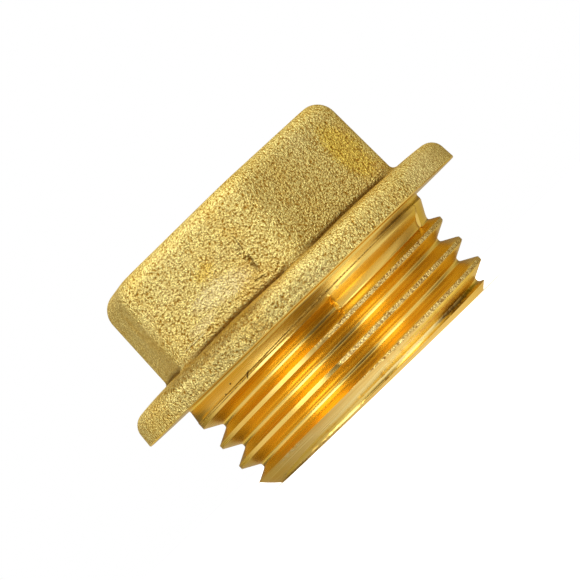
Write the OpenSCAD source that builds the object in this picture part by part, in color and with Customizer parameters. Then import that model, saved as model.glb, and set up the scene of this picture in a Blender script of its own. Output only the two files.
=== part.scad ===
// Flanged hexagon plug, hot forged in brass, with a turned seat and a parallel pipe thread.
// Millimetres. The thread's axis is +Z with the head up, and z = 0 is the sealing face under the flange.

/* [Head] */
// Width across the flats at half the head's height
head_across_flats = 19.1; // [17:0.1:19.5]
// Height of the head's top over the sealing face
head_top = 9; // [8:0.1:12]
// Radius of the six upright edges
head_corner_radius = 2; // [1.6:0.1:2.6]
// Radius of the edge around the top
head_top_radius = 1.5; // [0.6:0.1:1.5]
// Draft of the six sides, which the forging needs to leave its die
head_draft_deg = 1.6; // [0.5:0.1:2.5]
// Radius of the fillet between the head and the flange
head_foot_radius = 0.6; // [0.3:0.05:0.9]

/* [Flange] */
// Diameter of the flange at the sealing face
flange_diameter = 27.64; // [26:0.02:32]
// Height of the rim up to where its upper edge starts to round
flange_rim_height = 1; // [0.6:0.05:1.2]
// Draft of the rim
flange_rim_draft_deg = 4.6; // [1:0.1:6]
// Radius of the rim's upper edge
flange_edge_radius = 1.05; // [0.6:0.05:1.2]
// Slope of the flange's upper side, which rises towards the head
flange_slope_deg = 8.5; // [4:0.5:10]

/* [Thread] */
// Diameter over the thread's crests, 20.955 for a half-inch parallel pipe thread
thread_diameter = 20.955; // [20.7:0.005:21]
// Pitch, 14 turns to the inch
thread_pitch = 1.814; // [1.5:0.001:2]
// Depth from crest to root
thread_depth = 1.17; // [0.8:0.01:1.2]
// Angle of each flank from square to the axis
thread_flank_deg = 27.5; // [25:0.5:30]
// Width of the flat on a crest
thread_crest_flat = 0.34; // [0.25:0.01:0.45]
// Turn of the head against the thread, since the two are cut in different set-ups
thread_turn_deg = 20.3; // [0:0.1:60]
// Angle that the tool needs to back out of the groove
runout_deg = 260; // [200:10:280]

/* [Shank] */
// Length from the sealing face to the thread end
shank_length = 7.7; // [7:0.1:12]
// Diameter of the plain collar between the sealing face and the thread
collar_diameter = 20.64; // [20.5:0.02:20.64]
// Length of the plain collar
collar_length = 0.95; // [0.8:0.05:1.1]
// Radius that the tool leaves between the collar and the sealing face
seat_nose_radius = 0.2; // [0.12:0.02:0.3]
// Diameter of the thread end, at the foot of its chamfer
end_diameter = 18.28; // [18:0.02:18.8]

/* [Hollow] */
// Diameter of the hollow at its mouth
hollow_mouth_diameter = 14.8; // [13:0.1:15.2]
// Depth of the hollow from the thread end
hollow_depth = 11.2; // [6:0.1:11.6]
// Draft of the hollow's wall
hollow_draft_deg = 2; // [1:0.1:3]
// Radius between the hollow's wall and its floor
hollow_floor_radius = 1.5; // [0.8:0.1:2]
// Chamfer around the mouth
hollow_mouth_chamfer = 0.4; // [0.2:0.1:0.6]

/* [Hidden] */
$fn = 64;
brass = [0.83, 0.64, 0.26];
flange_radius = flange_diameter / 2;
crest_radius = thread_diameter / 2;
collar_radius = collar_diameter / 2;
end_radius = end_diameter / 2;
root_radius = crest_radius - thread_depth;
flank_slope = tan(thread_flank_deg);
groove_mouth = thread_pitch - thread_crest_flat;
arc_steps = 8;
corner_steps = 8;
turn_steps = 45;

// The groove's middle at the thread's zero turn, and how far on it keeps its full depth
groove_z = -2.39;
full_groove_deg = 99.5;
// Height of the root's easing, the share of the root that stays flat, and the width the run-out ends with
root_easing = 0.08;
root_flat_share = 0.45;
runout_width = 0.35;
// How far the cutter stands over the crests, and the share of the run-out after which it is clear of them
cutter_over = 0.4;
runout_past_crest = 1.08;

// Where the rim's straight part ends and where its round edge meets the sloping upper side
rim_lean = tan(flange_rim_draft_deg);
edge_centre_r = flange_radius - flange_rim_height * rim_lean
    - flange_edge_radius * cos(flange_rim_draft_deg);
edge_centre_z = flange_rim_height - flange_edge_radius * sin(flange_rim_draft_deg);
slope_r = edge_centre_r + flange_edge_radius * sin(flange_slope_deg);
slope_z = edge_centre_z + flange_edge_radius * cos(flange_slope_deg);

// Height of the flange's upper side at a distance r from the axis
function flange_top(r) = slope_z + (slope_r - r) * tan(flange_slope_deg);

// Points of an arc about a centre in a profile, from one angle to another
function arc(cr, cz, radius, from, to) =
    [for (i = [0:arc_steps]) let (a = from + (to - from) * i / arc_steps)
        [cr + radius * cos(a), cz + radius * sin(a)]];

// Half section of what the lathe and the die leave round: flange, collar, thread blank and end chamfer
module round_body() {
    buried_r = head_across_flats / 2 - 2;
    rotate_extrude()
        polygon(concat(
            [[0, -shank_length], [end_radius, -shank_length]],
            [[crest_radius, -shank_length + crest_radius - end_radius], [crest_radius, -collar_length]],
            [[collar_radius, -collar_length]],
            arc(collar_radius + seat_nose_radius, -seat_nose_radius, seat_nose_radius, 180, 90),
            [[flange_radius, 0]],
            arc(edge_centre_r, edge_centre_z, flange_edge_radius,
                flange_rim_draft_deg, 90 - flange_slope_deg),
            [[buried_r, flange_top(buried_r)], [0, flange_top(buried_r)]]));
}

// One ring of the head: the six corner arcs grown by a distance, at a fixed height or over the flange
function head_ring(grow, height, on_flange) =
    [for (c = [0:5], k = [0:corner_steps])
        let (a = 60 * c - 30 + 60 * k / corner_steps,
             reach = (head_across_flats / 2 - head_corner_radius) / cos(30),
             x = reach * cos(60 * c) + (head_corner_radius + grow) * cos(a),
             y = reach * sin(60 * c) + (head_corner_radius + grow) * sin(a))
        [x, y, height + (on_flange ? flange_top(norm([x, y])) : 0)]];

// Growth of the head's section at a height, from the draft
function head_growth(z) = ((head_top + flange_top(head_across_flats / 2)) / 2 - z) * tan(head_draft_deg);

// A closed body through rings of equal length, each ring turning anticlockwise seen from its far end
module loft(rings) {
    n = len(rings[0]);
    last = len(rings) - 1;
    polyhedron(
        points = [for (ring = rings) for (p = ring) p],
        faces = concat(
            [[for (i = [0:n - 1]) i]],
            [[for (i = [n - 1:-1:0]) last * n + i]],
            [for (j = [0:last - 1], i = [0:n - 1]) [j * n + i, (j + 1) * n + i, j * n + (i + 1) % n]],
            [for (j = [0:last - 1], i = [0:n - 1])
                [(j + 1) * n + i, (j + 1) * n + (i + 1) % n, j * n + (i + 1) % n]]));
}

// The forged hexagon with its draft, rounded edges and the fillet at its foot
module head() {
    foot = head_growth(flange_top(head_across_flats / 2));
    shoulder_z = head_top - head_top_radius;
    foot_start_deg = 15;
    foot_rings = 5;
    top_rings = 7;
    loft(concat(
        [head_ring(foot + head_foot_radius * (1 - sin(foot_start_deg)), flange_rim_height / 2, false)],
        [for (i = [0:foot_rings])
            let (a = foot_start_deg + (90 - foot_start_deg) * i / foot_rings)
            head_ring(foot + head_foot_radius * (1 - sin(a)), head_foot_radius * (1 - cos(a)), true)],
        [for (i = [0:top_rings])
            let (a = 90 * i / top_rings)
            head_ring(head_growth(shoulder_z) - head_top_radius * (1 - cos(a)),
                shoulder_z + head_top_radius * sin(a), false)]));
}

// Section of the groove at a share of the run-out, as [distance from the axis, height].
// In the run-out the root slides up the lower flank and the upper flank leans over.
function groove_section(share) =
    let (lift = share * (thread_depth - root_easing),
         half_root = groove_mouth / 2 - thread_depth * flank_slope,
         half_flat = half_root * root_flat_share,
         reach = groove_mouth / 2 + cutter_over * flank_slope,
         lip = reach + share * (runout_width - reach - groove_mouth / 2))
    [[crest_radius + cutter_over, -reach],
     [root_radius + root_easing + lift, -half_root - (root_easing + lift) * flank_slope],
     [root_radius + lift, -half_flat - lift * flank_slope],
     [root_radius + lift, half_flat - lift * flank_slope],
     [root_radius + root_easing + lift, half_root + (root_easing - lift) * flank_slope],
     [crest_radius + cutter_over, lip]];

// The tool's path: in through the thread end, up the helix, and out of the groove over its last part
module thread_groove() {
    below_end = 0.6 * thread_pitch;
    from = (-shank_length - below_end - groove_z) / thread_pitch * 360;
    to = full_groove_deg + runout_deg * runout_past_crest;
    steps = ceil((to - from) / 360 * turn_steps);
    loft([for (s = [0:steps])
        let (turn = from + (to - from) * s / steps,
             share = max(0, (turn - full_groove_deg) / runout_deg),
             z = groove_z + thread_pitch * turn / 360,
             a = turn - 180 + thread_turn_deg)
        [for (p = groove_section(share)) [p[0] * cos(a), p[0] * sin(a), z + p[1]]]]);
}

// The cored hollow, open at the thread end, with a drafted wall and a rounded floor
module hollow() {
    mouth_r = hollow_mouth_diameter / 2;
    floor_z = hollow_depth - shank_length;
    floor_r = mouth_r - hollow_depth * tan(hollow_draft_deg);
    bend = hollow_floor_radius;
    spill = 1;
    rotate_extrude()
        polygon(concat(
            [[0, -shank_length - spill], [mouth_r + hollow_mouth_chamfer + spill, -shank_length - spill]],
            [[mouth_r, -shank_length + hollow_mouth_chamfer]],
            arc(floor_r - bend, floor_z - bend, bend, hollow_draft_deg, 90),
            [[0, floor_z]]));
}

module plug() {
    color(brass)
        difference() {
            union() {
                round_body();
                head();
            }
            thread_groove();
            hollow();
        }
}

plug();
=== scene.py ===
"""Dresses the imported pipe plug: the forging with its cut thread, its finishes, a pale floor and soft lamps.

Sizes are in millimetres until a mesh is made. The thread's axis is Z with the head up, and z = 0 is the
sealing face.
"""

from __future__ import annotations

import logging
import math
from dataclasses import dataclass, field
from enum import IntEnum

import bmesh
import bpy
import numpy as np
from mathutils import Matrix, Vector

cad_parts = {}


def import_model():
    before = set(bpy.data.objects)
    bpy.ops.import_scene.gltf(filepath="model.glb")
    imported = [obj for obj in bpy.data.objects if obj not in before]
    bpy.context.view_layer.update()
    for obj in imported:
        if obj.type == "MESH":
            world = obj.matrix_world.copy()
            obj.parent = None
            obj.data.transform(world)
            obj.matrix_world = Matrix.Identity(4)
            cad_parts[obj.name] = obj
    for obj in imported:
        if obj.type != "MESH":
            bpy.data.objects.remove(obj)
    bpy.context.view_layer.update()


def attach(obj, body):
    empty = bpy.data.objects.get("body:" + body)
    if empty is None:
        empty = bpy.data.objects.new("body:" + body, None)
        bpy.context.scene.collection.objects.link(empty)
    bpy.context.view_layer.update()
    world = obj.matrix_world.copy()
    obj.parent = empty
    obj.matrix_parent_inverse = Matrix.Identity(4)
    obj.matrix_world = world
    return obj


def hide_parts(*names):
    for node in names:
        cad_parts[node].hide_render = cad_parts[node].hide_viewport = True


MM = 0.001
PER_METRE = 1000.0
# Directions about the axis, from X: across the photograph to its right, and to the camera
ACROSS_DEG = 20.3
CAMERA_DEG = ACROSS_DEG - 90
LOG = logging.getLogger("plug")
Colour = tuple[float, float, float, float]


class Zone(IntEnum):
    """The finishes of the plug, in the order of its material slots."""

    FORGED = 0
    TURNED = 1
    CREST = 2
    CHAMFER = 3
    CORED = 4


class Tint(IntEnum):
    """What a mark does to the colour."""

    # Darkens towards brown, for real dirt and pits and for painted shade and painted dark reflections
    SOOT = 0
    PALE = 1
    WARM = 2


class Skin(IntEnum):
    """Where the blasted skin of the forging was left."""

    NONE = 0
    ALL = 1
    ONE_SIDE = 2


def linear(red: int, green: int, blue: int) -> Colour:
    """Returns a display colour as linear light.

    Args:
        red: Red, 0 to 255.
        green: Green, 0 to 255.
        blue: Blue, 0 to 255.

    Returns:
        The linear colour with an alpha of 1.
    """
    c = np.array([red, green, blue]) / 255
    c = np.where(c <= 0.04045, c / 12.92, ((c + 0.055) / 1.055) ** 2.4)
    return (float(c[0]), float(c[1]), float(c[2]), 1.0)


# Warm and pale drifts, warm marks, dirt and painted shade, light that glances off and the stage's white
AMBER = linear(246, 216, 140)
STRAW = linear(255, 243, 186)
GOLD = linear(255, 244, 186)
BROWN = linear(98, 62, 10)
GLANCE = linear(248, 226, 160)
WHITE = (1.0, 1.0, 1.0, 1.0)


def smooth_max(a: np.ndarray, b: np.ndarray, width: float) -> np.ndarray:
    """Returns the larger of two heights with the corner between them rounded.

    Formula: the larger one plus h squared over four widths, where h is how far their gap falls short of the
    width.

    Args:
        a: First heights.
        b: Second heights.
        width: The gap at which the rounding starts.
    """
    short = np.maximum(width - np.abs(a - b), 0)
    return np.maximum(a, b) + short**2 / (4 * width)


def smooth_step(x: np.ndarray) -> np.ndarray:
    """Returns 0 below 0, 1 above 1, and three x squared less two x cubed between."""
    x = np.clip(x, 0, 1)
    return x * x * (3 - 2 * x)


@dataclass(frozen=True)
class Columns:
    """The meridians that all patches of the plug's surface share, so that they meet point for point."""

    flats: float = 19.1
    corner: float = 2.0
    arc_steps: int = 24
    flat_steps: int = 48
    fade_steps: int = 8
    fade_from: float = 0.4
    fade_over: float = 1.2

    @property
    def reach(self) -> float:
        """Distance from the axis to the centre of a corner's arc."""
        return (self.flats / 2 - self.corner) / math.cos(math.radians(30))

    def hexagon(self, grow: np.ndarray | float) -> np.ndarray:
        """Returns the head's rounded outline, grown outwards.

        Formula: each corner is an arc of 60 degrees about its centre, of the corner radius plus the growth,
        and each flat is the straight line between the ends of two arcs.

        Args:
            grow: Growth, one number or one for each column.

        Returns:
            An array of columns by two.
        """
        k = np.arange(self.arc_steps + 1)
        f = np.arange(1, self.flat_steps) / self.flat_steps
        grow = np.broadcast_to(grow, (6 * (self.arc_steps + self.flat_steps),)).reshape(6, -1)
        c = np.radians(60 * np.arange(6))[:, None]
        a = c + np.radians(-30 + 60 * k / self.arc_steps)[None, :]
        centre = self.reach * np.stack([np.cos(c), np.sin(c)], -1)
        radius = self.corner + grow[:, : k.size]
        arcs = centre + radius[..., None] * np.stack([np.cos(a), np.sin(a)], -1)
        radius = (self.corner + grow[:, k.size :])[..., None]
        ahead = c + math.radians(60)
        centre_next = self.reach * np.stack([np.cos(ahead), np.sin(ahead)], -1)
        normal = c + math.radians(30)
        out = radius * np.stack([np.cos(normal), np.sin(normal)], -1)
        flats = centre + out + (centre_next - centre) * f[None, :, None]
        return np.concatenate([arcs, flats], 1).reshape(-1, 2)

    def cornerness(self) -> np.ndarray:
        """Returns 1 in the middle of each corner's arc, falling smoothly to 0 a little way along the flats.

        Formula: the way from the arc's middle counts 1 at the arc's ends and 1 more for each eight steps of a
        flat. The fall is a smooth step over that count.
        """
        step = np.arange(1, self.flat_steps)
        flat = 1 + np.minimum(step, self.flat_steps - step) / self.fade_steps
        way = np.concatenate([np.abs(np.linspace(-1, 1, self.arc_steps + 1)), flat])
        return np.tile(1 - smooth_step((way - self.fade_from) / self.fade_over), 6)

    def angles(self) -> np.ndarray:
        """Returns each column's angle about the axis, in radians, rising from the first."""
        p = self.hexagon(0.0)
        return np.unwrap(np.arctan2(p[:, 1], p[:, 0]))


@dataclass
class Patchwork:
    """Grids of points that are joined into one closed mesh."""

    points: list[np.ndarray] = field(default_factory=list)
    faces: list[np.ndarray] = field(default_factory=list)
    zones: list[np.ndarray] = field(default_factory=list)
    crease_shades: list[np.ndarray] = field(default_factory=list)
    count: int = 0
    sharp_deg: float = 32.0

    def add(
        self,
        grid: np.ndarray,
        zones: np.ndarray | int,
        closed: bool = True,
        crease_shade: np.ndarray | float = 0.0,
    ) -> None:
        """Adds a grid of rows by columns by three, whose rows run round the axis.

        Args:
            grid: The points, from the lowest row of the outward side on.
            zones: One zone for all faces, or an array of rows less one by faces in a row.
            closed: Whether the last column joins the first.
            crease_shade: How much painted shade each point gets, from 0 to 1.
        """
        rows, cols = grid.shape[:2]
        index = self.count + np.arange(rows * cols).reshape(rows, cols)
        ahead = np.roll(index, -1, 1) if closed else index[:, 1:]
        here = index if closed else index[:, :-1]
        quads = np.stack([here[:-1], ahead[:-1], ahead[1:], here[1:]], -1)
        self.points.append(grid.reshape(-1, 3))
        self.faces.append(quads.reshape(-1, 4))
        self.zones.append(np.broadcast_to(zones, quads.shape[:2]).reshape(-1))
        self.crease_shades.append(np.broadcast_to(crease_shade, (rows, cols)).reshape(-1))
        self.count += rows * cols

    def close(self, ring: np.ndarray, height: float, zone: Zone, steps: int, upward: bool) -> None:
        """Adds a flat disc inside a ring, as rings that shrink towards the axis.

        Args:
            ring: The ring's points, columns by three.
            height: Height of the disc's middle.
            zone: The disc's finish.
            steps: Number of rings.
            upward: Whether the disc faces up.
        """
        share = np.linspace(1, 0, steps + 1)[:, None, None]
        middle = np.array([0.0, 0.0, height])
        grid = middle + (ring[None] - middle) * share
        self.add(grid if upward else grid[::-1], int(zone))

    def build(self, name: str, merge: float) -> bpy.types.Object:
        """Makes the mesh, merges the points that meet and turns its faces outwards.

        Args:
            name: The piece's name.
            merge: Distance in millimetres under which points are one.

        Returns:
            The finished object, at the origin.
        """
        points = np.concatenate(self.points) * MM
        quads = np.concatenate(self.faces)
        mesh = bpy.data.meshes.new(name)
        mesh.vertices.add(len(points))
        mesh.vertices.foreach_set("co", points.astype(np.float32).ravel())
        mesh.loops.add(quads.size)
        mesh.loops.foreach_set("vertex_index", quads.ravel().astype(np.int32))
        mesh.polygons.add(len(quads))
        mesh.polygons.foreach_set("loop_start", np.arange(0, quads.size, 4, dtype=np.int32))
        mesh.update(calc_edges=True)
        mesh.polygons.foreach_set("material_index", np.concatenate(self.zones).astype(np.int32))
        # This attribute carries painted shade, 0 to 1, in the fillet under the head and on the flange's
        # slope.
        shade_share = mesh.attributes.new("crease_shade", "FLOAT", "POINT")
        shade_share.data.foreach_set("value", np.concatenate(self.crease_shades).astype(np.float32))
        work = bmesh.new()
        work.from_mesh(mesh)
        bmesh.ops.remove_doubles(work, verts=work.verts, dist=merge * MM)
        bmesh.ops.recalc_face_normals(work, faces=work.faces)
        work.to_mesh(mesh)
        work.free()
        mesh.polygons.foreach_set("use_smooth", np.ones(len(mesh.polygons), dtype=bool))
        mesh.set_sharp_from_angle(angle=math.radians(self.sharp_deg))
        mesh.update()
        made = bpy.data.objects.new(name, mesh)
        bpy.context.scene.collection.objects.link(made)
        return made


@dataclass(frozen=True)
class Thread:
    """The half-inch parallel pipe thread: its blank, groove, run-out under the collar and end chamfer.

    Attributes:
        full_deg: Where the groove's full depth ends, which is where the first pass backs out.
        second_deg: Where the second pass backs out.
        step_deg: How far round a pass takes to back out.
        first_step, second_step, climb: How far the root rises there, and evenly after them.
        facet_back, facet_slope, facet_height: Start, slope and height of the steep facet over the risen root.
        facet_more: How much higher that facet reaches after the second pass.
        taper, taper_less: How much the collar widens on its one side, and how much less on its other.
        skin_drop, skin_ripple: How much lower the raw skin of one side lies, and its unevenness.
        fullness: How far the chamfer stands over a straight cone in its middle.
        burr, burr_reach: Height and width of the burrs on the chamfer's upper edge.
    """

    crest: float = 10.4775
    pitch: float = 1.814
    depth: float = 1.17
    flank_deg: float = 27.5
    crest_flat: float = 0.28
    turn_deg: float = 20.3
    groove_z: float = -2.35
    full_deg: float = 97.8
    second_deg: float = 158.0
    step_deg: float = 1.2
    first_step: float = 0.26
    second_step: float = 0.15
    climb: float = 0.9
    climb_from_deg: float = 80.0
    climb_deg: float = 180.0
    facet_back: float = 0.16
    facet_slope: float = 0.53
    facet_height: float = 0.42
    facet_more: float = 1.2
    root_round: float = 0.16
    collar_top: float = -0.2
    collar_foot: float = -0.98
    collar_radius: float = 10.33
    end_z: float = -7.7
    end_radius: float = 9.14
    taper: float = 0.11
    taper_less: float = 0.075
    taper_length: float = 0.8
    cone_length: float = 0.12
    skin_drop: float = 0.05
    skin_ripple: float = 0.018
    chamfer_height: float = 1.34
    fullness: float = 0.06
    burr: float = 0.075
    burr_reach: float = 0.06
    ripple_steps: int = 360
    ripple_rows: int = 80
    ripple_row: float = 0.15

    @property
    def slope(self) -> float:
        """Height of a flank for each millimetre of its depth."""
        return math.tan(math.radians(self.flank_deg))

    @property
    def half_mouth(self) -> float:
        """Half the groove's width at the crests."""
        return (self.pitch - self.crest_flat) / 2

    @property
    def half_root(self) -> float:
        """Half the width of the groove's flat root."""
        return self.half_mouth - self.depth * self.slope

    def turns(self, angles: np.ndarray) -> np.ndarray:
        """Returns how far round from the thread's zero each angle is, from 0 to 1."""
        return np.mod(np.degrees(angles) - self.turn_deg + 180, 360) / 360

    def ripple(self, turn: np.ndarray, z: np.ndarray, seed: int) -> np.ndarray:
        """Returns an uneven height that closes round the axis.

        Formula: random values on a lattice of steps round the axis and rows of height, blended in straight
        lines between the four nearest.

        Args:
            turn: Turns, 0 to 1.
            z: Heights.
            seed: Number that picks the values.
        """
        steps = self.ripple_steps
        table = np.random.default_rng(seed).normal(0, 1, (steps, self.ripple_rows))
        t, h = np.mod(turn, 1) * steps, np.clip(-z / self.ripple_row, 0, self.ripple_rows - 2)
        i, j = np.floor(t).astype(int), np.floor(h).astype(int)
        u, v = t - i, h - j
        low = table[i % steps, j] * (1 - u) + table[(i + 1) % steps, j] * u
        high = table[i % steps, j + 1] * (1 - u) + table[(i + 1) % steps, j + 1] * u
        return low * (1 - v) + high * v

    def blank(self, turn: np.ndarray, z: np.ndarray) -> np.ndarray:
        """Returns the blank's radius: a collar that widens towards the thread, then the crests.

        Formula: the collar widens evenly down to its foot, more on one side than on the other, and meets the
        crests over a short cone. On the other side the forging ran short, so its raw skin lies a little
        lower.

        Args:
            turn: Turns from the thread's zero, 0 to 1.
            z: Heights.
        """
        side = -np.cos(2 * math.pi * turn)
        taper = self.taper - self.taper_less * smooth_step((side + 0.15) / 0.35)
        collar = self.collar_radius + taper * np.clip((self.collar_top - z) / self.taper_length, 0, 1)
        raw = smooth_step((side + 0.12) / 0.2)
        top = self.crest - raw * (self.skin_drop - self.skin_ripple * self.ripple(turn, z, 11))
        cone = np.clip((self.collar_foot - z) / self.cone_length, 0, 1)
        return collar + (top - collar) * cone

    def chamfer(self, z: np.ndarray) -> np.ndarray:
        """Returns the end chamfer's radius at a height: a cone of 45 degrees, a little full in its middle.

        Args:
            z: Heights.
        """
        up = z - self.end_z
        share = np.clip(up / self.chamfer_height, 0, 1)
        return self.end_radius + up + self.fullness * np.sin(share * math.pi)

    def lift(self, past: np.ndarray) -> np.ndarray:
        """Returns how far the root has risen past the full groove: two steps where passes end, then a climb.

        Args:
            past: Degrees past the end of the full groove.
        """
        first = self.first_step * smooth_step(past / self.step_deg)
        second = self.second_step * self.second_pass(past)
        return first + second + self.climb * np.clip((past - self.climb_from_deg) / self.climb_deg, 0, 1)

    def second_pass(self, past: np.ndarray) -> np.ndarray:
        """Returns 0 before the second pass backs out and 1 after it."""
        return smooth_step((past - self.second_deg + self.full_deg) / self.step_deg)

    def groove(self, turn: np.ndarray, z: np.ndarray) -> np.ndarray:
        """Returns the radius that the groove leaves at a turn and a height.

        Formula: for each turn of the helix, the largest of the lower flank's line, the root's radius and the
        upper flank's line, with rounded corners. In the run-out the root slides up the lower flank, and the
        upper flank gives way to a steep facet of 28 degrees from the axis and one of 45 degrees over it. The
        smallest over all turns is kept.

        Args:
            turn: Turns from the thread's zero, 0 to 1.
            z: Heights, in an array that broadcasts with the turns.
        """
        least = np.full(np.broadcast(turn, z).shape, np.inf)
        root = self.crest - self.depth
        for n in range(-5, 3):
            degrees = 360 * (turn + n)
            past = degrees - self.full_deg
            out = smooth_step(past / self.step_deg)
            lift = self.lift(past)
            dz = z - self.groove_z - self.pitch * degrees / 360
            lower = self.crest - (dz + self.half_mouth) / self.slope
            flank = self.crest + (dz - self.half_mouth) / self.slope
            start = dz + self.half_root + lift * self.slope - self.facet_back
            facet = root + lift + self.facet_slope * start
            bend = self.facet_height + self.facet_more * self.second_pass(past)
            over = root + lift + self.facet_slope * bend + (start - bend)
            upper = flank * (1 - out) + np.maximum(facet, over) * out
            cut = smooth_max(smooth_max(lower, upper, self.root_round), root + lift, self.root_round)
            least = np.minimum(least, cut)
        return least

    def rows(self) -> np.ndarray:
        """Returns the heights of the mesh's rows over one pitch, measured from the groove's middle."""
        flank_foot, crest_edge = self.half_root + 0.06, self.half_mouth + 0.03
        root = np.linspace(0, flank_foot, 5)[1:]
        flank = np.linspace(flank_foot, self.half_mouth, 8)[1:]
        crest = np.array([crest_edge, self.pitch / 2])
        up = np.concatenate([root, flank, crest])
        return np.concatenate([-up[-2::-1], [0.0], up])

    def surface(self, angles: np.ndarray) -> tuple[np.ndarray, np.ndarray]:
        """Returns the thread's grid and its face zones.

        Formula: the grid's rows climb with the helix, so that the crests' edges follow them. The radius is
        the smallest of the blank, the groove and the chamfer. Where two of them cross between two rows, the
        nearer row's point moves to the crossing, so the edge is crisp. Burrs stand a little proud of the
        chamfer's upper edge.

        Args:
            angles: The columns' angles in radians.
        """
        turn = self.turns(angles)
        order = np.argsort(turn)
        t = np.append(turn[order], turn[order][0] + 1)
        a = np.append(angles[order], angles[order][0])
        low = math.floor((self.end_z - self.pitch - self.groove_z) / self.pitch) - 1
        high = math.ceil((self.collar_top - self.groove_z) / self.pitch) + 1
        w = (self.groove_z + self.pitch * np.arange(low, high + 1)[:, None] + self.rows()[None]).ravel()
        z = np.clip(w[:, None] + self.pitch * t[None], self.end_z, self.collar_top)
        turn_grid = np.mod(t, 1)[None] + np.zeros_like(z)
        z = self.snap(turn_grid, z)
        above = np.minimum(self.blank(turn_grid, z), self.groove(turn_grid, z))
        cone = self.chamfer(z)
        free = smooth_step((z - self.end_z) / 0.3)
        crumbs = np.clip(self.ripple(turn_grid, z * 0.3, 5) - 0.2, 0, 1.4)
        near_edge = np.exp(-(((above - cone) / self.burr_reach) ** 2))
        radius = np.minimum(above, cone) + self.burr * free * crumbs * near_edge
        grid = np.stack([radius * np.cos(a), radius * np.sin(a), z], -1)
        return grid, self.face_zones(grid)

    def face_zones(self, grid: np.ndarray) -> np.ndarray:
        """Returns each face's finish, from which of blank, groove and chamfer is least at its middle.

        Args:
            grid: The thread's points.
        """
        mid = (grid[1:, 1:] + grid[:-1, :-1] + grid[1:, :-1] + grid[:-1, 1:]) / 4
        z = mid[..., 2]
        turn = self.turns(np.arctan2(mid[..., 1], mid[..., 0]))
        blank, groove, chamfer = self.blank(turn, z), self.groove(turn, z), self.chamfer(z)
        below = z < self.groove_z + self.pitch * turn
        zones = np.full(mid.shape[:2], int(Zone.TURNED))
        zones[(blank < groove) & (blank < chamfer) & below] = int(Zone.CREST)
        zones[(chamfer <= groove) & (chamfer <= blank)] = int(Zone.CHAMFER)
        return zones

    def snap(self, turn: np.ndarray, z: np.ndarray) -> np.ndarray:
        """Moves heights to where the chamfer crosses the thread between two rows, and to the collar's foot.

        Args:
            turn: The grid's turns.
            z: The grid's heights, rising along the first axis.

        Returns:
            The moved heights.
        """
        apart, tiny = 1e-4, 1e-6
        gap = np.minimum(self.groove(turn, z), self.blank(turn, z)) - self.chamfer(z)
        crosses = (np.sign(gap[:-1]) * np.sign(gap[1:]) < 0) & (z[1:] - z[:-1] > apart)
        share = np.where(crosses, gap[:-1] / np.where(crosses, gap[:-1] - gap[1:], 1), 0)
        cross = z[:-1] + (z[1:] - z[:-1]) * share
        moved = z.copy()
        lower = crosses & (share < 0.5) & (z[:-1] > self.end_z + tiny)
        upper = crosses & ~lower & (z[1:] < self.collar_top - tiny)
        moved[:-1] = np.where(lower, cross, moved[:-1])
        moved[1:] = np.where(upper, cross, moved[1:])
        columns = np.arange(z.shape[1])
        for level in (self.collar_foot, self.collar_foot - self.cone_length):
            nearest = np.argmin(np.abs(moved - level), axis=0)
            moved[nearest, columns] = level
        return moved


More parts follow.
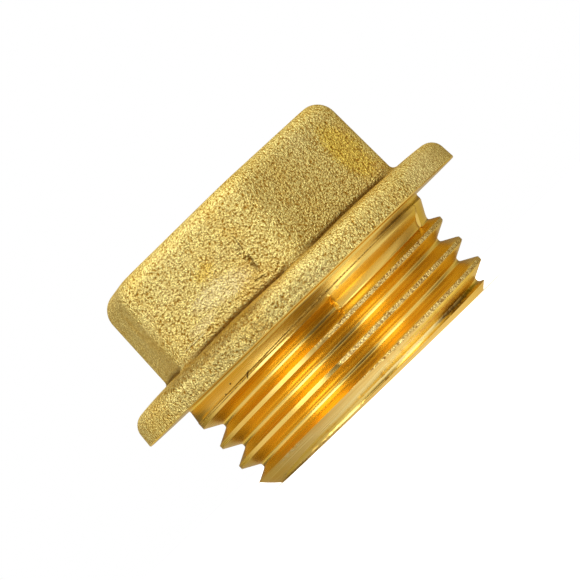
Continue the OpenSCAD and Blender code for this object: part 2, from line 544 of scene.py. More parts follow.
@dataclass(frozen=True)
class Forging:
    """The forged head and flange, with drafted sides, soft edges, a fillet at the foot and a slope."""

    columns: Columns = Columns()
    top: float = 9.0
    top_round_flat: float = 1.3
    top_round_corner: float = 1.5
    draft_deg: float = 1.6
    foot_flat: float = 0.2
    foot_corner: float = 0.36
    foot_dip: float = 0.24
    radius: float = 13.82
    rim_height: float = 1.0
    rim_draft_deg: float = 4.6
    edge_round: float = 1.05
    slope_deg: float = 8.5
    seat_edge: float = 0.05
    # Painted shade on the flange's slope, ring by ring from the rim in towards the head's foot
    slope_shade: tuple[float, ...] = (0.04, 0.1, 0.16, 0.2, 0.28, 0.45)
    wall_shares: tuple[float, ...] = (0.035, 0.35, 0.68)

    def edge_centre(self) -> tuple[float, float]:
        """Returns the distance and height of the rim's round edge's centre."""
        lean = math.radians(self.rim_draft_deg)
        r = self.radius - self.rim_height * math.tan(lean) - self.edge_round * math.cos(lean)
        return r, self.rim_height - self.edge_round * math.sin(lean)

    def flange_top(self, r: np.ndarray | float) -> np.ndarray | float:
        """Returns the height of the flange's upper side, which falls evenly from the head to the rim.

        Args:
            r: Distances from the axis.
        """
        slope = math.radians(self.slope_deg)
        cr, cz = self.edge_centre()
        start = cr + self.edge_round * math.sin(slope)
        return cz + self.edge_round * math.cos(slope) + (start - r) * math.tan(slope)

    def growth(self, z: np.ndarray | float) -> np.ndarray | float:
        """Returns how much the head's outline has grown at a height, from its draft."""
        middle = (self.top + float(self.flange_top(self.columns.flats / 2))) / 2
        return (middle - z) * math.tan(math.radians(self.draft_deg))

    def flange(self) -> np.ndarray:
        """Returns the rim from the sealing face up to the start of the slope, as a revolved profile."""
        cr, cz = self.edge_centre()
        lean, slope = math.radians(self.rim_draft_deg), math.radians(self.slope_deg)
        a = np.linspace(lean, math.pi / 2 - slope, 11)
        rim_z = np.array([0.0, 0.07, 0.3, 0.6, 0.85])
        rim_r = self.radius - rim_z * math.tan(lean)
        rim_r[0] -= self.seat_edge
        r = np.concatenate([rim_r, cr + self.edge_round * np.cos(a)])
        z = np.concatenate([rim_z, cz + self.edge_round * np.sin(a)])
        return revolve(r, z, self.columns.angles())

    def head(self) -> tuple[np.ndarray, np.ndarray]:
        """Returns the slope, the fillet, the drafted sides and the round top edge, and each point's share of
        painted shade.

        Formula: the slope's rings go in even shares from the circle to the fillet's outer ring, and dip a
        little towards the head, most along the flats. The fillet's rings grow the outline by its radius times
        one less the sine of the angle, and stand over the slope by its radius times one less the cosine. The
        top edge's rings shrink by its radius times one less the cosine and climb by its radius times the
        sine.
        """
        col, corner = self.columns, self.columns.cornerness()
        foot_r = self.foot_flat + (self.foot_corner - self.foot_flat) * corner
        top_r = self.top_round_flat + (self.top_round_corner - self.top_round_flat) * corner
        dip = self.foot_dip * (1 - 0.5 * corner)
        base = float(self.growth(float(self.flange_top(col.flats / 2))))
        rings = []
        for angle in np.linspace(0, math.pi / 2, 10):
            p = col.hexagon(base + foot_r * (1 - math.sin(angle)))
            z = self.flange_top(np.hypot(p[:, 0], p[:, 1])) - dip + foot_r * (1 - math.cos(angle))
            rings.append(np.column_stack([p, z]))
        cr, _ = self.edge_centre()
        start = cr + self.edge_round * math.sin(math.radians(self.slope_deg))
        a = col.angles()
        circle = start * np.column_stack([np.cos(a), np.sin(a)])
        slope = []
        for share in np.linspace(0, 1, len(self.slope_shade) + 1)[:-1]:
            p = circle + (rings[0][:, :2] - circle) * share
            z = self.flange_top(np.hypot(p[:, 0], p[:, 1])) - dip * share**1.6
            slope.append(np.column_stack([p, z]))
        shoulder = self.top - top_r
        walls = []
        for share in self.wall_shares:
            z = rings[-1][:, 2] + (shoulder - rings[-1][:, 2]) * share
            walls.append(np.column_stack([col.hexagon(self.growth(z)), z]))
        crown = []
        for angle in np.linspace(0, math.pi / 2, 12):
            p = col.hexagon(self.growth(shoulder) - top_r * (1 - math.cos(angle)))
            crown.append(np.column_stack([p, shoulder + top_r * math.sin(angle)]))
        # Painted shade: most in the fillet, rising along the slope towards it, less at the corners, none on
        # the sides and top
        fillet = np.interp(np.linspace(0, 90, len(rings)), [0, 30, 70, 90], [0.75, 1.0, 1.0, 0.6])
        rows = np.concatenate([self.slope_shade, fillet, np.zeros(len(walls) + len(crown))])
        shade_share = rows[:, None] * (1 - 0.6 * corner)[None]
        return np.array(slope + rings + walls + crown), shade_share


def revolve(r: np.ndarray, z: np.ndarray, angles: np.ndarray) -> np.ndarray:
    """Returns a profile turned about the axis.

    Formula: each point's distance times the cosine and the sine of each angle, and its height.

    Args:
        r: Distances from the axis.
        z: Heights.
        angles: The columns' angles in radians.
    """
    flat = np.stack([np.cos(angles), np.sin(angles)], -1)[None] * r[:, None, None]
    return np.concatenate([flat, np.broadcast_to(z[:, None, None], (len(z), len(angles), 1))], -1)


@dataclass(frozen=True)
class Hollow:
    """The cored hollow, open at the thread end."""

    mouth: float = 7.4
    chamfer: float = 0.4
    depth: float = 11.2
    draft_deg: float = 2.0
    floor_round: float = 1.5

    def profile(self, end_z: float) -> tuple[np.ndarray, np.ndarray]:
        """Returns the wall's profile from the end face up: chamfer, drafted wall, quarter round.

        Args:
            end_z: Height of the end face.
        """
        floor_z = end_z + self.depth
        floor_r = self.mouth - self.depth * math.tan(math.radians(self.draft_deg))
        bend = self.floor_round
        a = np.linspace(math.radians(self.draft_deg), math.pi / 2, 9)
        wall_z = np.linspace(end_z + self.chamfer, floor_z - bend, 7)
        wall_r = np.linspace(self.mouth, floor_r, 7)
        r = np.concatenate([[self.mouth + self.chamfer], wall_r, floor_r - bend + bend * np.cos(a[1:])])
        z = np.concatenate([[end_z], wall_z, floor_z - bend + bend * np.sin(a[1:])])
        return r, z


# Finishes


class Bench:
    """Places and joins the nodes of one tree."""

    def __init__(self, tree: bpy.types.NodeTree) -> None:
        """Keeps the tree and empties it."""
        self.tree = tree
        tree.nodes.clear()

    def add(self, kind: str, *inputs: object, **values: object) -> bpy.types.Node:
        """Adds a node.

        Args:
            kind: Blender's name of the node's type.
            *inputs: What its first inputs get, in order.
            **values: Its properties by name.

        Returns:
            The node.
        """
        made = self.tree.nodes.new(kind)
        for name, value in values.items():
            setattr(made, name, value)
        for socket, value in zip(made.inputs, inputs):
            self.feed(socket, value)
        return made

    def feed(self, socket: bpy.types.NodeSocket, value: object) -> None:
        """Links a wire to a socket, or sets the socket's own value.

        Args:
            socket: The input.
            value: A wire, or a plain value.
        """
        if isinstance(value, Wire):
            self.tree.links.new(value.socket, socket)
        else:
            socket.default_value = value

    def fill(self, node: bpy.types.Node, **values: object) -> None:
        """Feeds a node's inputs by name, with underscores for spaces."""
        for name, value in values.items():
            self.feed(node.inputs[name.replace("_", " ")], value)

    def wire(self, kind: str, *inputs: object, out: int | str = 0, **values: object) -> Wire:
        """Adds a node as add does, and returns one of its outputs."""
        return Wire(self, self.add(kind, *inputs, **values).outputs[out])

    def math(self, operation: str, *values: object, clamp: bool = False) -> Wire:
        """Returns the output of a Math node with these inputs."""
        return self.wire("ShaderNodeMath", *values, operation=operation, use_clamp=clamp)

    def mix(self, share: object, first: object, second: object, blend: str = "MIX") -> Wire:
        """Returns a blend of two colours.

        Args:
            share: Share of the second colour.
            first: First colour.
            second: Second colour.
            blend: How the two are blended.
        """
        made = self.add("ShaderNodeMix", share, data_type="RGBA", blend_type=blend)
        self.feed(made.inputs[6], first)
        self.feed(made.inputs[7], second)
        return Wire(self, made.outputs[2])

    def blend(self, share: object, first: object, second: object) -> Wire:
        """Returns a blend of two plain values.

        Args:
            share: Share of the second value.
            first: First value.
            second: Second value.
        """
        made = self.add("ShaderNodeMix", share, data_type="FLOAT")
        self.feed(made.inputs[2], first)
        self.feed(made.inputs[3], second)
        return Wire(self, made.outputs[0])

    def span(self, value: object, low: float, high: float, to_low: float = 0.0, to_high: float = 1.0) -> Wire:
        """Returns a value mapped smoothly from one span to another."""
        return self.wire(
            "ShaderNodeMapRange", value, low, high, to_low, to_high, interpolation_type="SMOOTHSTEP"
        )

    def noise(self, vector: Wire, scale: object, detail: float, roughness: float = 0.5) -> Wire:
        """Returns the grey output of a Noise node.

        Args:
            vector: Where it is read.
            scale: Its cells to the metre.
            detail: Its octaves.
            roughness: How much each octave keeps of the one before.
        """
        made = self.add("ShaderNodeTexNoise")
        self.fill(made, Vector=vector, Scale=scale, Detail=detail, Roughness=roughness)
        return Wire(self, made.outputs[0])

    def split(self, vector: Wire) -> tuple[Wire, Wire, Wire]:
        """Returns a vector's three parts."""
        x, y, z = self.add("ShaderNodeSeparateXYZ", vector).outputs
        return Wire(self, x), Wire(self, y), Wire(self, z)

    def reach(self, vector: Wire, turn_deg: float, scale: float = 1.0) -> Wire:
        """Returns how far a point lies from the axis in a level direction.

        Formula: x times the direction's cosine plus y times its sine.

        Args:
            vector: The point.
            turn_deg: The direction.
            scale: Factor on the length.
        """
        x, y, _ = self.split(vector)
        a = math.radians(turn_deg)
        return x * (scale * math.cos(a)) + y * (scale * math.sin(a))

    def place(self, group: bpy.types.NodeTree, **values: object) -> dict[str, Wire]:
        """Adds a group node with its own input values.

        Args:
            group: The group.
            **values: Inputs by name, with underscores for spaces.

        Returns:
            The node's outputs by name.
        """
        made = self.add("ShaderNodeGroup", node_tree=group)
        self.fill(made, **values)
        return {socket.name: Wire(self, socket) for socket in made.outputs}


@dataclass(frozen=True)
class Wire:
    """A node's output, with arithmetic that adds Math nodes."""

    bench: Bench
    socket: bpy.types.NodeSocket

    def __add__(self, other: object) -> Wire:
        """Returns the sum."""
        return self.bench.math("ADD", self, other)

    def __sub__(self, other: object) -> Wire:
        """Returns this less the other."""
        return self.bench.math("SUBTRACT", self, other)

    def __rsub__(self, other: object) -> Wire:
        """Returns the other less this."""
        return self.bench.math("SUBTRACT", other, self)

    def __mul__(self, other: object) -> Wire:
        """Returns the product."""
        return self.bench.math("MULTIPLY", self, other)

    def __truediv__(self, other: object) -> Wire:
        """Returns this over the other."""
        return self.bench.math("DIVIDE", self, other)

    def __rtruediv__(self, other: object) -> Wire:
        """Returns the other over this."""
        return self.bench.math("DIVIDE", other, self)


@dataclass
class Group:
    """A group tree with named sockets, which are all plain values apart from the vector that it reads.

    Attributes:
        name: The group's name.
        starts: Starting values by input name.
        results: Names of its outputs.
    """

    name: str
    starts: dict[str, float]
    results: tuple[str, ...]

    def __post_init__(self) -> None:
        """Makes the tree with its sockets, and keeps its bench, its vector and its inputs."""
        self.tree = bpy.data.node_groups.new(self.name, "ShaderNodeTree")
        self.tree.interface.new_socket("Vector", in_out="INPUT", socket_type="NodeSocketVector")
        for key, start in self.starts.items():
            made = self.tree.interface.new_socket(key, in_out="INPUT", socket_type="NodeSocketFloat")
            made.default_value = start
        for key in self.results:
            self.tree.interface.new_socket(key, in_out="OUTPUT", socket_type="NodeSocketFloat")
        self.bench = Bench(self.tree)
        entry = self.bench.add("NodeGroupInput")
        self.vector = Wire(self.bench, entry.outputs["Vector"])
        self.given = {key: Wire(self.bench, entry.outputs[key]) for key in self.starts}

    def finish(self, **values: Wire) -> bpy.types.NodeTree:
        """Feeds the outputs by name and returns the tree."""
        self.bench.fill(self.bench.add("NodeGroupOutput"), **values)
        return self.tree


class Effects:
    """The shared effects, each a group that is built once."""

    mark_sizes = {
        "Across mm": 0.0,
        "Height mm": 0.0,
        "Turn deg": 0.0,
        "Half length mm": 1.0,
        "Half width mm": 0.2,
        "Ragged mm": 0.1,
        "Broken": 0.0,
    }

    def __init__(self) -> None:
        """Builds the groups."""
        self.grain = self.blast_grain()
        self.lines = self.turning_lines()
        self.drift = self.tone_drift()
        self.mark = self.surface_mark()

    @staticmethod
    def blast_grain() -> bpy.types.NodeTree:
        """Returns the pitted grain that shot leaves: overlapping dimples, with a coarse and a fine noise."""
        group = Group("blast_grain", {"Grain mm": 0.2}, ("Height", "Fleck"))
        b, vector = group.bench, group.vector
        scale = PER_METRE / group.given["Grain mm"]
        cells = b.add("ShaderNodeTexVoronoi", feature="SMOOTH_F1")
        b.fill(cells, Vector=vector, Scale=scale, Smoothness=0.2)
        dimple = Wire(b, cells.outputs["Distance"])
        coarse = b.noise(vector, scale * 0.45, 1.0)
        fine = b.noise(vector, scale * 1.1, 3.0, 0.72)
        fleck = b.wire("ShaderNodeMapRange", fine * 1.6 + dimple * -0.5, 0.26, 0.74, 0.0, 1.0)
        return group.finish(Height=dimple * -0.7 + coarse * 0.5 + fine * 0.9, Fleck=fleck)

    @staticmethod
    def turning_lines() -> bpy.types.NodeTree:
        """Returns the fine rings of a turned or chased surface, which vary across the cut, hardly along."""
        group = Group("turning_lines", {"Spacing mm": 0.08}, ("Height", "Tone"))
        b = group.bench
        x, y, z = b.split(group.vector)
        radius = b.math("SQRT", x * x + y * y)
        drawn = b.wire("ShaderNodeCombineXYZ", radius + x * 0.012, z + x * -0.03, y * 0.012)
        scale = PER_METRE / group.given["Spacing mm"]
        fine = b.noise(drawn, scale, 2.0)
        broad = b.noise(drawn, scale * 0.22, 2.0)
        return group.finish(Height=fine * 0.5 + broad, Tone=b.span(fine * 0.4 + broad * 0.6, 0.35, 0.65))

    @staticmethod
    def tone_drift() -> bpy.types.NodeTree:
        """Returns slow drifts in tone and height over a few millimetres, as forging and handling leave."""
        group = Group("tone_drift", {"Size mm": 4.0}, ("Warm", "Pale", "Height"))
        b, vector = group.bench, group.vector
        elsewhere = (0.031, 0.017, 0.053)
        moved = b.wire("ShaderNodeVectorMath", vector, elsewhere, operation="ADD")
        scale = PER_METRE / group.given["Size mm"]
        return group.finish(
            Warm=b.span(b.noise(vector, scale, 3.0, 0.6), 0.45, 0.68),
            Pale=b.span(b.noise(moved, scale, 3.0, 0.6), 0.48, 0.7),
            Height=b.noise(moved, scale * 1.4, 1.0),
        )

    @staticmethod
    def surface_mark() -> bpy.types.NodeTree:
        """Returns the mask of one mark on the near side: an ellipse with a ragged outline.

        Its place is given as seen along the photograph's direction: millimetres across from the axis and in
        height.
        """
        group = Group("surface_mark", Effects.mark_sizes, ("Mask",))
        b, vector, given = group.bench, group.vector, group.given
        _, _, z = b.split(vector)
        across = b.reach(vector, ACROSS_DEG, PER_METRE)
        near = b.reach(vector, CAMERA_DEG, PER_METRE)
        uneven = (b.noise(vector, 5200.0, 2.0) - 0.5) * given["Ragged mm"]
        du = across - given["Across mm"] + uneven
        dv = z * PER_METRE - given["Height mm"] - uneven
        turn = b.math("RADIANS", given["Turn deg"])
        c, s = b.math("COSINE", turn), b.math("SINE", turn)
        along = (du * c + dv * s) / given["Half length mm"]
        side = (dv * c - du * s) / given["Half width mm"]
        far = b.math("SQRT", along * along + side * side)
        inside = b.span(far, 0.55, 1.1, 1.0, 0.0) * b.span(near, 1.0, 2.0)
        gaps = b.span(b.noise(vector, 3800.0, 2.0, 0.6), 0.46, 0.56)
        return group.finish(Mask=inside * (1.0 - gaps * given["Broken"]))


@dataclass(frozen=True)
class Mark:
    """One mark on the near side.

    Attributes:
        across: Millimetres across from the axis, to the photograph's right.
        height: Millimetres over the sealing face.
        turn: Turn of its length from level, in degrees.
        half_length: Half its length in millimetres.
        half_width: Half its width in millimetres.
        depth: Its depth in millimetres, less than 0 where it stands proud.
        shade: How far it takes the mark's colour.
        ragged: How uneven its outline is, in millimetres.
        broken: How far it breaks up into spots, from 0 to 1.
        tint: What it does to the colour.
    """

    across: float
    height: float
    turn: float
    half_length: float
    half_width: float
    depth: float
    shade: float
    ragged: float = 0.12
    broken: float = 0.0
    tint: Tint = Tint.SOOT

    def mask(self, b: Bench, effects: Effects, vector: Wire) -> Wire:
        """Places the mark's group and returns its mask.

        Args:
            b: The material's bench.
            effects: The shared groups.
            vector: Object coordinates.
        """
        shape = (self.across, self.height, self.turn, self.half_length, self.half_width)
        values = dict(zip(effects.mark_sizes, (*shape, self.ragged, self.broken)))
        return b.place(effects.mark, Vector=vector, **values)["Mask"]


@dataclass(frozen=True)
class BrassFinish:
    """One finish of the brass.

    Attributes:
        name: The material's name.
        roughness: Roughness of the bright and of the dark grain.
        light: Colour of its bright grain.
        dark: Colour of its dark grain.
        cut: Bright and dark colour of its cut metal.
        grain_mm: Size of the blasted grain.
        grain_depth_mm: Depth of the blasted grain.
        line_mm: Spacing of the turning lines.
        line_depth_mm: Depth of the turning lines.
        wave_mm: Depth of the slow unevenness.
        skin: Where the blasted skin was left.
        drift: Strength of its warm and pale drifts.
        marks: Its marks: each nick, flaw and stain, and each patch of painted shade and of painted
            reflection.
    """

    name: str
    roughness: tuple[float, float]
    light: Colour = AMBER
    dark: Colour = AMBER
    cut: tuple[Colour, Colour] = (linear(242, 209, 114), linear(238, 204, 107))
    grain_mm: float = 0.2
    grain_depth_mm: float = 0.03
    line_mm: float = 0.08
    line_depth_mm: float = 0.004
    wave_mm: float = 0.0
    skin: Skin = Skin.NONE
    drift: float = 1.0
    marks: tuple[Mark, ...] = ()

    def skin_mask(self, b: Bench, vector: Wire) -> object:
        """Returns the mask of the blasted skin, with an uneven edge where it covers one side.

        Args:
            b: The material's bench.
            vector: Object coordinates.
        """
        if self.skin is not Skin.ONE_SIDE:
            return float(self.skin)
        uneven = (b.noise(vector, 900.0, 3.0) - 0.5) * 0.006
        return b.span(b.reach(vector, ACROSS_DEG) + uneven, -0.002, 0.0)

    def make(self, effects: Effects) -> bpy.types.Material:
        """Returns the material: metal whose colour, roughness and height come from the shared effects.

        Args:
            effects: The shared groups.
        """
        material = bpy.data.materials.new(self.name)
        material.use_nodes = True
        b = Bench(material.node_tree)
        vector = b.wire("ShaderNodeTexCoord", out="Object")
        grain = b.place(effects.grain, Vector=vector, Grain_mm=self.grain_mm)
        lines = b.place(effects.lines, Vector=vector, Spacing_mm=self.line_mm)
        drift = b.place(effects.drift, Vector=vector, Size_mm=3.6)
        skin = self.skin_mask(b, vector)
        tone = b.blend(skin, lines["Tone"], grain["Fleck"])
        colour = b.mix(skin, b.mix(tone, self.cut[1], self.cut[0]), b.mix(tone, self.dark, self.light))
        warmer = b.mix(1.0, colour, AMBER, "MULTIPLY")
        colour = b.mix(drift["Warm"] * (0.35 * self.drift), colour, warmer)
        colour = b.mix(drift["Pale"] * (0.25 * self.drift), colour, b.mix(0.5, colour, STRAW))
        cut_height = lines["Height"] * (self.line_depth_mm * MM)
        height = b.blend(skin, cut_height, grain["Height"] * (self.grain_depth_mm * MM))
        height = height + drift["Height"] * (self.wave_mm * MM)
        # Painted shade from the mesh's attribute, in the fillet and on the flange's slope, broken up by the
        # grain and darkening towards brown
        crease_shade = b.wire("ShaderNodeAttribute", out="Fac", attribute_name="crease_shade")
        speckled_shade = crease_shade * b.blend(0.3, 1.0, grain["Fleck"])
        tints: dict[Tint, object] = {Tint.SOOT: speckled_shade, Tint.PALE: 0.0, Tint.WARM: 0.0}
        for mark in self.marks:
            mask = mark.mask(b, effects, vector)
            height = height - mask * (mark.depth * MM)
            tints[mark.tint] = b.math("MAXIMUM", tints[mark.tint], mask * mark.shade)
        colour = b.mix(tints[Tint.PALE], colour, b.mix(0.6, colour, STRAW))
        colour = b.mix(tints[Tint.WARM], colour, b.mix(1.0, colour, GOLD, "MULTIPLY"))
        bump = b.add("ShaderNodeBump")
        b.fill(bump, Strength=1.0, Distance=1.0, Height=height)
        shader = b.add("ShaderNodeBsdfPrincipled")
        b.fill(
            shader,
            Base_Color=b.mix(tints[Tint.SOOT], colour, BROWN),
            Metallic=1.0,
            Roughness=b.blend(tone, self.roughness[1], self.roughness[0]),
            Specular_Tint=GLANCE,
            Normal=Wire(b, bump.outputs[0]),
        )
        b.add("ShaderNodeOutputMaterial", Wire(b, shader.outputs[0]))
        return material


def finishes() -> dict[Zone, BrassFinish]:
    """Returns the plug's finishes by zone."""
    flaws_and_shade = (
        Mark(-0.58, 4.35, 92, 1.25, 0.24, 0.08, 0.75, 0.4, 1.0),
        Mark(-0.36, 5.5, 82, 0.7, 0.05, 0.05, 0.6, 0.1),
        Mark(-0.9, 2.9, -8, 0.5, 0.07, 0.05, 0.6, 0.1),
        Mark(-9.5, 6.55, 0, 0.1, 0.1, 0.05, 0.7, 0.05),
        Mark(-6.75, 2.86, 0, 1.2, 0.06, -0.05, 0.8, 0.06, 0.0, Tint.PALE),
        Mark(-3.3, 4.1, -8, 2.6, 0.9, 0.0, 0.8, 1.6, 0.3, Tint.PALE),
        Mark(-5.6, 3.3, 0, 1.4, 0.4, 0.0, 0.6, 0.9, 0.3, Tint.PALE),
        Mark(8.9, 5.0, 96, 2.9, 1.1, 0.0, 1.0, 1.2, 0.0, Tint.WARM),
        Mark(-3.3, 5.7, 10, 1.0, 0.5, 0.0, 0.7, 0.9, 0.2, Tint.WARM),
        # Painted shade over the left of the flange's upper side
        Mark(-6.2, 1.75, 0, 5.9, 0.55, 0.0, 0.7, 0.5, 0.35),
        # Dark speckle over the near rim: dark grain, and painted shade that dims the rim
        Mark(-4.2, 0.45, 0, 9.0, 0.95, 0.0, 0.38, 0.4, 0.9),
        Mark(11.9, 0.7, 0, 1.9, 1.2, 0.0, 0.35, 0.4, 0.1, Tint.PALE),
    )
    # Painted shade on the right where the last groove ends; the groove cuts through it, so it is on the
    # chamfer and in the groove
    end_groove_shade = Mark(7.3, -7.06, 2, 2.3, 0.2, 0.02, 0.95, 0.12, 0.15)
    nicks_and_painted_light = (
        Mark(-5.8, -1.02, 40, 0.3, 0.07, 0.06, 0.85, 0.08),
        Mark(-7.04, -0.67, 0, 0.08, 0.07, 0.03, 0.8, 0.05),
        Mark(-7.74, -0.96, 0, 0.08, 0.06, 0.03, 0.7, 0.05),
        Mark(0.0, -0.76, 1.9, 13.0, 0.032, 0.03, 0.65, 0.016, 0.3),
        Mark(-5.5, -1.08, 1.9, 6.0, 0.03, 0.03, 0.6, 0.016, 0.5),
        Mark(-3.0, -0.84, 1.9, 6.0, 0.025, 0.02, 0.5, 0.016, 0.5),
        Mark(2.5, -0.62, 1.4, 5.0, 0.025, 0.02, 0.5, 0.016, 0.6),
        # Painted dark reflection: a streak along the collar's right
        Mark(8.4, -0.4, 0.5, 2.9, 0.11, 0.0, 0.7, 0.1, 0.2),
        end_groove_shade,
        # Painted reflection: a pale band low on the thread where the last groove runs into the chamfer
        Mark(0.8, -6.96, 0, 7.6, 0.36, 0.0, 1.0, 0.1, 0.0, Tint.PALE),
        # Painted dark reflections in three roots near the middle
        Mark(-0.4, -1.9, 1.8, 1.5, 0.13, 0.0, 0.45, 0.08),
        Mark(0.7, -3.67, 1.8, 1.6, 0.13, 0.0, 0.45, 0.08),
        Mark(0.6, -5.48, 1.8, 1.2, 0.11, 0.0, 0.4, 0.08),
    )
    smears_and_shade = (
        Mark(-6.4, -7.48, 0, 3.0, 0.15, 0.05, 0.6, 0.5, 0.6),
        Mark(-8.0, -7.66, 0, 1.7, 0.07, 0.03, 0.75, 0.2),
        Mark(-3.6, -7.5, 4, 1.1, 0.12, 0.06, 0.6, 0.3, 0.8),
        Mark(-7.2, -6.55, 3, 1.3, 0.1, -0.03, 0.7, 0.5, 1.0, Tint.PALE),
        Mark(-3.0, -7.35, 3, 4.5, 0.025, 0.02, 0.35, 0.02, 0.6),
        end_groove_shade,
    )
    forged = BrassFinish(
        "blasted_forging",
        (0.25, 0.42),
        linear(255, 241, 156),
        linear(162, 115, 21),
        grain_mm=0.158,
        grain_depth_mm=0.14,
        wave_mm=0.1,
        skin=Skin.ALL,
        marks=flaws_and_shade,
    )
    turned = BrassFinish(
        "turned_brass", (0.24, 0.28), line_mm=0.12, line_depth_mm=0.0006, marks=nicks_and_painted_light, drift=0.25
    )
    crest = BrassFinish(
        "thread_crest",
        (0.2, 0.34),
        linear(255, 234, 158),
        linear(150, 104, 30),
        grain_mm=0.15,
        grain_depth_mm=0.09,
        line_depth_mm=0.003,
        skin=Skin.ONE_SIDE,
    )
    chamfer = BrassFinish(
        "end_chamfer",
        (0.26, 0.36),
        cut=(linear(246, 214, 134), linear(234, 194, 110)),
        line_mm=0.09,
        line_depth_mm=0.007,
        marks=smears_and_shade,
        drift=0.4,
    )
    cored = BrassFinish(
        "cored_hollow",
        (0.36, 0.5),
        linear(236, 208, 128),
        linear(140, 104, 36),
        grain_mm=0.18,
        grain_depth_mm=0.07,
        wave_mm=0.1,
        skin=Skin.ALL,
    )
    return dict(zip(Zone, (forged, turned, crest, chamfer, cored)))


# The plug, the stage and the camera


@dataclass(frozen=True)
class Plug:
    """The one piece: forging, turned seat, threaded shank and hollow, as one closed mesh."""

    forging: Forging = Forging()
    thread: Thread = Thread()
    hollow: Hollow = Hollow()
    nose: float = 0.2
    merge: float = 0.0004

    def seat(self) -> tuple[np.ndarray, np.ndarray]:
        """Returns the profile from the collar round the tool's nose radius and out over the sealing face."""
        a = np.linspace(math.pi, math.pi / 2, 6)
        centre = self.thread.collar_radius + self.nose
        face_r = np.array([11.2, 12.2, 13.2, self.forging.radius - self.forging.seat_edge])
        r = np.concatenate([centre + self.nose * np.cos(a), face_r])
        return r, np.concatenate([-self.nose + self.nose * np.sin(a), np.zeros(face_r.size)])

    def build(self) -> bpy.types.Object:
        """Makes the mesh from its patches.

        Returns:
            The finished object.
        """
        work = Patchwork()
        angles = self.forging.columns.angles()
        rim = self.forging.flange()
        zones = np.full((len(rim) - 1, 1), int(Zone.FORGED))
        zones[0] = int(Zone.TURNED)
        work.add(rim, zones)
        head, shade_share = self.forging.head()
        work.add(head, int(Zone.FORGED), crease_shade=shade_share)
        work.close(head[-1], self.forging.top, Zone.FORGED, 5, True)
        work.add(revolve(*self.seat(), angles), int(Zone.TURNED))
        grid, zones = self.thread.surface(angles)
        work.add(grid, zones, closed=False)
        end_z = self.thread.end_z
        end_r = np.linspace(self.hollow.mouth + self.hollow.chamfer, self.thread.end_radius, 4)
        work.add(revolve(end_r, np.full(4, end_z), angles), int(Zone.TURNED))
        r, z = self.hollow.profile(end_z)
        wall = revolve(r, z, angles)
        work.add(wall, int(Zone.CORED))
        work.close(wall[-1], float(z[-1]), Zone.CORED, 3, False)
        return work.build("pipe_plug", self.merge)

    def dress(self, piece: bpy.types.Object, effects: Effects) -> None:
        """Gives the piece its finishes and its place in the frame.

        Args:
            piece: The piece.
            effects: The shared groups.
        """
        for _, finish in sorted(finishes().items()):
            piece.data.materials.append(finish.make(effects))
        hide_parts("plug")
        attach(piece, "root")


@dataclass(frozen=True)
class Lamp:
    """A soft lamp that looks at the plug.

    Attributes:
        name: Its name.
        side_deg: Its direction from the camera's, to the right, about the axis.
        up_deg: Its height over the plug's middle.
        distance: Its distance in metres.
        width: Its width in metres.
        height: Its height in metres.
        watts: Its power.
    """

    name: str
    side_deg: float
    up_deg: float
    distance: float
    width: float
    height: float
    watts: float

    def make(self) -> None:
        """Adds the lamp."""
        a, e = math.radians(CAMERA_DEG + self.side_deg), math.radians(self.up_deg)
        back = Vector((math.cos(a) * math.cos(e), math.sin(a) * math.cos(e), math.sin(e)))
        data = bpy.data.lights.new(self.name, "AREA")
        data.shape, data.energy = "RECTANGLE", self.watts
        data.size, data.size_y = self.width, self.height
        made = bpy.data.objects.new(self.name, data)
        made.location = back * self.distance
        made.rotation_mode = "QUATERNION"
        made.rotation_quaternion = (-back).to_track_quat("-Z", "Y")
        bpy.context.scene.collection.objects.link(made)


@dataclass(frozen=True)
class Patch:
    """A soft round patch of the surround or of the floor, as the plug sees it.

    Attributes:
        side_deg: Its direction from the camera's, to the right.
        inner: Half the angle within which it is full.
        outer: Half the angle at which it ends.
        amount: Its strength, less than 0 where it takes light away.
    """

    side_deg: float
    inner: float
    outer: float
    amount: float = 1.0

    def mask(self, b: Bench, way: Wire) -> Wire:
        """Returns the patch's strength in each direction.

        Args:
            b: The tree's bench.
            way: Direction from the plug.
        """
        a = math.radians(CAMERA_DEG + self.side_deg)
        level = (math.cos(a), math.sin(a), 0.0)
        dot = b.wire("ShaderNodeVectorMath", way, level, out="Value", operation="DOT_PRODUCT")
        edge, full = math.cos(math.radians(self.outer)), math.cos(math.radians(self.inner))
        return b.span(dot, edge, full, 0.0, self.amount)


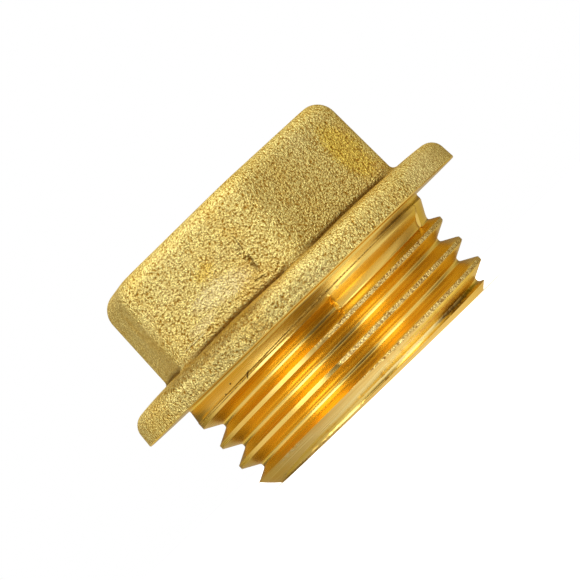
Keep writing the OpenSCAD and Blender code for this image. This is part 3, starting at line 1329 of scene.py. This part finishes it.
@dataclass(frozen=True)
class Studio:
    """The pale floor, the soft lamps, the white surround and the camera at the photograph's angle."""

    roll_deg: float = 43.8
    distance_mm: float = 490.0
    eye_mm: float = -4.3
    aim_mm: tuple[float, float] = (-0.036, 1.12)
    field_mm: float = 38.18
    sensor_mm: float = 36.0
    floor_mm: float = -7.7
    half_floor: float = 0.45
    lamps: tuple[Lamp, ...] = (
        Lamp("key_lamp", -41, 23, 0.34, 0.20, 0.38, 0.64),
        Lamp("fill_lamp", 35, 11, 0.36, 0.16, 0.34, 0.305),
        Lamp("top_lamp", -150, 66, 0.36, 0.26, 0.26, 0.37),
    )

    def camera(self) -> None:
        """Adds the camera, rolled so that the plug's axis points up and to the left as in the photograph."""
        a = math.radians(CAMERA_DEG)
        right = Vector((-math.sin(a), math.cos(a), 0))
        eye = Vector((math.cos(a) * self.distance_mm, math.sin(a) * self.distance_mm, self.eye_mm)) * MM
        aim = (right * self.aim_mm[0] + Vector((0, 0, self.aim_mm[1]))) * MM
        ahead = (aim - eye).normalized()
        side = ahead.cross(Vector((0, 0, 1))).normalized()
        over = side.cross(ahead)
        roll = math.radians(self.roll_deg)
        x = side * math.cos(roll) - over * math.sin(roll)
        y = side * math.sin(roll) + over * math.cos(roll)
        turn = Matrix((x, y, -ahead)).transposed()
        data = bpy.data.cameras.new("camera")
        data.sensor_width = self.sensor_mm
        data.lens = self.sensor_mm * (aim - eye).length / MM / self.field_mm
        data.clip_start, data.clip_end = 0.01, 10.0
        made = bpy.data.objects.new("camera", data)
        made.matrix_world = Matrix.Translation(eye) @ turn.to_4x4()
        bpy.context.scene.collection.objects.link(made)
        bpy.context.scene.camera = made

    def floor(self) -> None:
        """Adds the pale floor, which is open from below and keeps the plug's shadow."""
        half = self.half_floor
        corners = [(-half, -half), (half, -half), (half, half), (-half, half)]
        mesh = bpy.data.meshes.new("floor")
        mesh.from_pydata([(x, y, self.floor_mm * MM) for x, y in corners], [], [(0, 1, 2, 3)])
        made = bpy.data.objects.new("floor", mesh)
        bpy.context.scene.collection.objects.link(made)
        material = bpy.data.materials.new("pale_floor")
        material.use_nodes = True
        b = Bench(material.node_tree)
        path = b.add("ShaderNodeLightPath").outputs
        camera, glossy = Wire(b, path["Is Camera Ray"]), Wire(b, path["Is Glossy Ray"])
        seen = b.math("MAXIMUM", camera, Wire(b, path["Is Transmission Ray"]))
        distance, card, shade = self.reflected_floor(b)
        strength = b.math("MAXIMUM", seen * b.span(distance, 0.0115, 0.0165, 0.3, 1.0), glossy * card)
        lit, shaded = (1.0, 0.97, 0.92, 1.0), (1.0, 0.7, 0.38, 1.0)
        shown = b.mix(b.math("MULTIPLY", shade, 1.3, clamp=True), lit, shaded)
        glow = b.wire("ShaderNodeEmission", b.mix(camera, shown, WHITE), strength)
        matt_colour = b.mix(1.0 - glossy * 0.88, (0.0, 0.0, 0.0, 1.0), (0.9, 0.895, 0.89, 1.0))
        both = b.wire("ShaderNodeAddShader", b.wire("ShaderNodeBsdfDiffuse", matt_colour), glow)
        below = b.wire("ShaderNodeNewGeometry", out="Backfacing")
        clear = b.wire("ShaderNodeBsdfTransparent")
        b.add("ShaderNodeOutputMaterial", b.wire("ShaderNodeMixShader", below, both, clear))
        mesh.materials.append(material)

    def reflected_floor(self, b: Bench) -> tuple[Wire, Wire, Wire]:
        """Returns the distance from the sealing face's middle, and the floor's light and shade in the metal.

        Formula: the light grows evenly outwards, with more on the right, more on the left from a little way
        out and more close round the shank. The shade is the largest of three patches that start a little way
        out: towards the camera, far to the right and a little to the left. The light is less by the shade's
        share.

        Args:
            b: The floor's bench.
        """
        place = b.wire("ShaderNodeTexCoord", out="Object")
        distance = b.wire("ShaderNodeVectorMath", place, out="Value", operation="LENGTH")
        way = b.wire("ShaderNodeVectorMath", place, operation="NORMALIZE")
        right, close, left = Patch(50, 20, 115, 0.42), Patch(16, 20, 70, 0.2), Patch(-100, 30, 72, 0.34)
        card = b.span(distance, 0.016, 0.1, 0.32, 0.46) + right.mask(b, way)
        near = close.mask(b, way) + 0.06
        card = card + near * b.span(distance, 0.014, 0.0165, 1.0, 0.0)
        card = card + left.mask(b, way) * b.span(distance, 0.018, 0.032)
        dark = (
            (Patch(0, 12, 27, 0.8), (0.0155, 0.0205)),
            (Patch(96, 12, 34, 0.7), (0.014, 0.0205)),
            (Patch(-26, 16, 34, 0.5), (0.02, 0.03)),
        )
        shades = [patch.mask(b, way) * b.span(distance, *reach) for patch, reach in dark]
        shade = b.math("MAXIMUM", b.math("MAXIMUM", shades[0], shades[1]), shades[2])
        return distance, card * (1.0 - shade), shade

    def surround(self) -> None:
        """Sets the surround: white to the camera, and to all else a pale room, darker behind the camera."""
        world = bpy.data.worlds.new("surround")
        bpy.context.scene.world = world
        world.use_nodes = True
        b = Bench(world.node_tree)
        camera = b.wire("ShaderNodeLightPath", out="Is Camera Ray")
        way = b.wire("ShaderNodeTexCoord", out="Generated")
        _, _, height = b.split(way)
        room = b.span(height, -0.1, 0.8, 0.5, 1.0)
        walls = (
            Patch(0, 14, 30, -0.5),
            Patch(96, 9, 26, -0.42),
            Patch(-166, 20, 56, -0.38),
            Patch(60, 14, 52, 0.26),
            Patch(-80, 20, 56, 0.36),
        )
        for patch in walls:
            room = room + patch.mask(b, way)
        colour: object = (1.0, 0.98, 0.94, 1.0)
        tones = (
            (Patch(-145, 35, 80), (1.0, 0.88, 0.85, 1.0)),
            (Patch(80, 30, 80), (1.0, 0.9, 0.74, 1.0)),
            (Patch(0, 12, 30), (1.0, 0.72, 0.4, 1.0)),
        )
        for patch, tone in tones:
            colour = b.mix(patch.mask(b, way), colour, tone)
        strength = b.math("MAXIMUM", room, camera)
        sky = b.wire("ShaderNodeBackground", b.mix(camera, colour, WHITE), strength)
        b.add("ShaderNodeOutputWorld", sky)

    def build(self) -> None:
        """Adds everything round the plug."""
        self.camera()
        self.floor()
        self.surround()
        for lamp in self.lamps:
            lamp.make()
        bpy.context.scene.view_settings.view_transform = "Standard"


def main() -> None:
    """Builds the plug and its stage in order."""
    logging.basicConfig(level=logging.INFO, format="%(name)s: %(message)s")
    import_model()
    studio = Studio()
    studio.build()
    LOG.info("stage ready with %d lamps", len(studio.lamps))
    plug = Plug()
    piece = plug.build()
    plug.dress(piece, Effects())
    LOG.info("%s: %d faces, %d materials", piece.name, len(piece.data.polygons), len(piece.data.materials))


if __name__ == "__main__":
    main()
